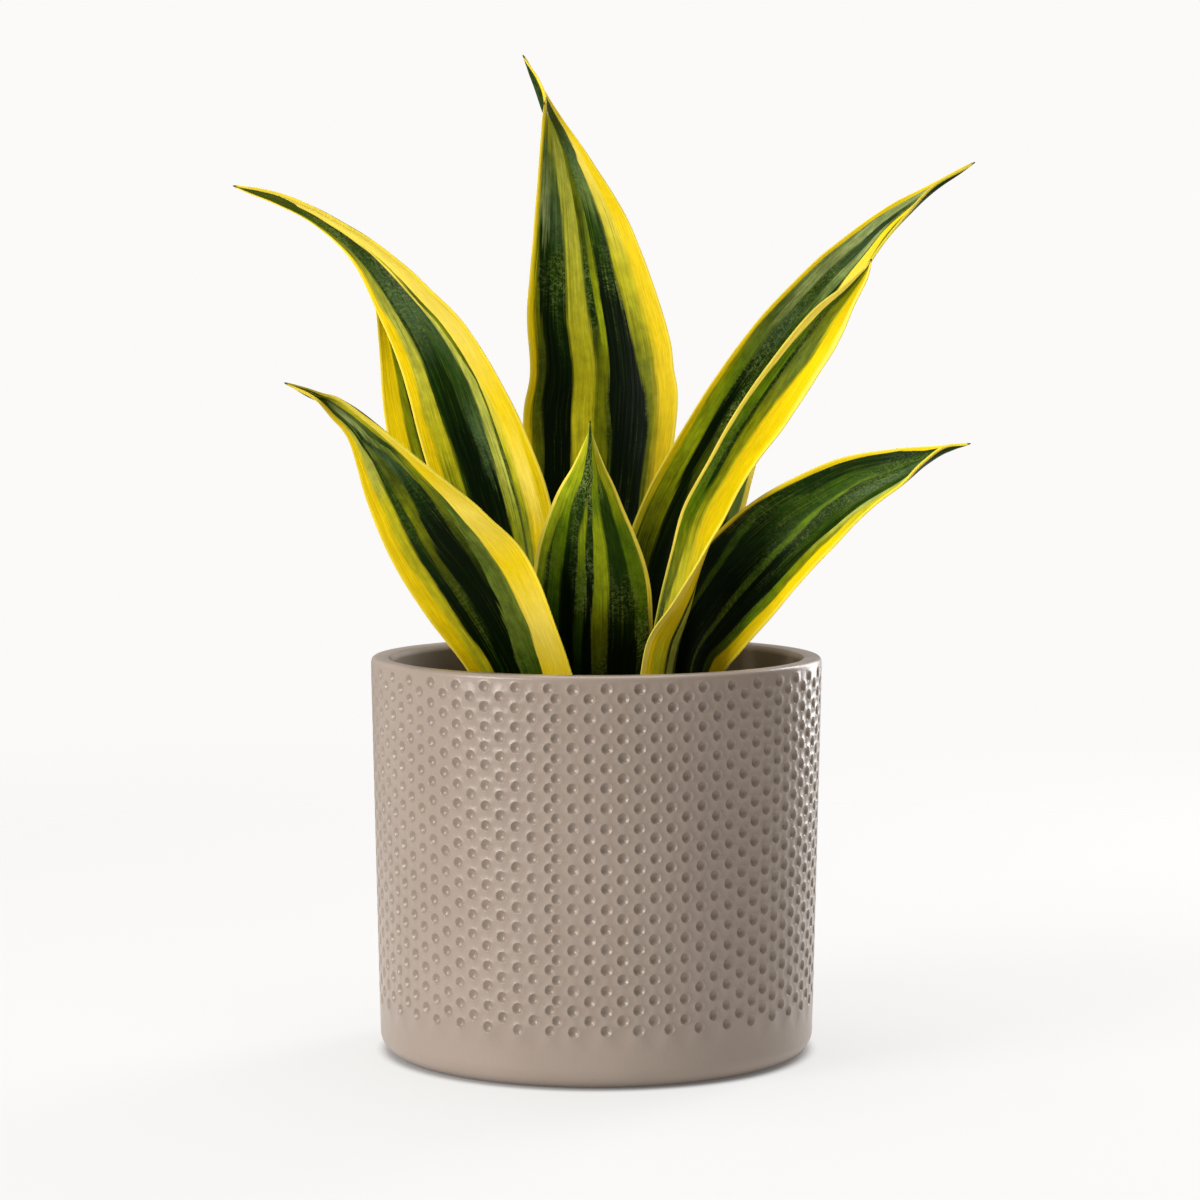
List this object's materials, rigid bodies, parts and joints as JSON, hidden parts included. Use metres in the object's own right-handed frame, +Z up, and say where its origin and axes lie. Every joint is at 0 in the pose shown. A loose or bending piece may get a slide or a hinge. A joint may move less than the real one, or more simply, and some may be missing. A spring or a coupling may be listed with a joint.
{
  "type": "potted golden flame snake plant",
  "caption": "Golden flame snake plant with stiff, pointed yellow and green leaf blades, standing in soil in a round dimpled ceramic pot with a thin rounded rim.",
  "frame": {"origin": "centre of the pot's flat underside, on the pot's axis", "axes": "+Z up along the pot's axis, +X to the viewer's right in the picture, -Y towards the viewer"},
  "size_m": [0.2548, 0.1514, 0.3358],
  "materials": {
    "pot_glaze": "satin",
    "soil": "matte",
    "rhizome": "matte",
    "leaf": "satin"
  },
  "bodies": {
    "root": {"pot": "pot_glaze", "soil": "soil", "rhizome": "rhizome", "leaf_back_centre": "leaf", "leaf_left_upper": "leaf", "leaf_left_behind": "leaf", "leaf_left_front": "leaf", "leaf_front_small": "leaf", "leaf_right_tall": "leaf", "leaf_right_front": "leaf", "leaf_right_low": "leaf", "leaf_right_behind": "leaf"}
  },
  "joints": []
}
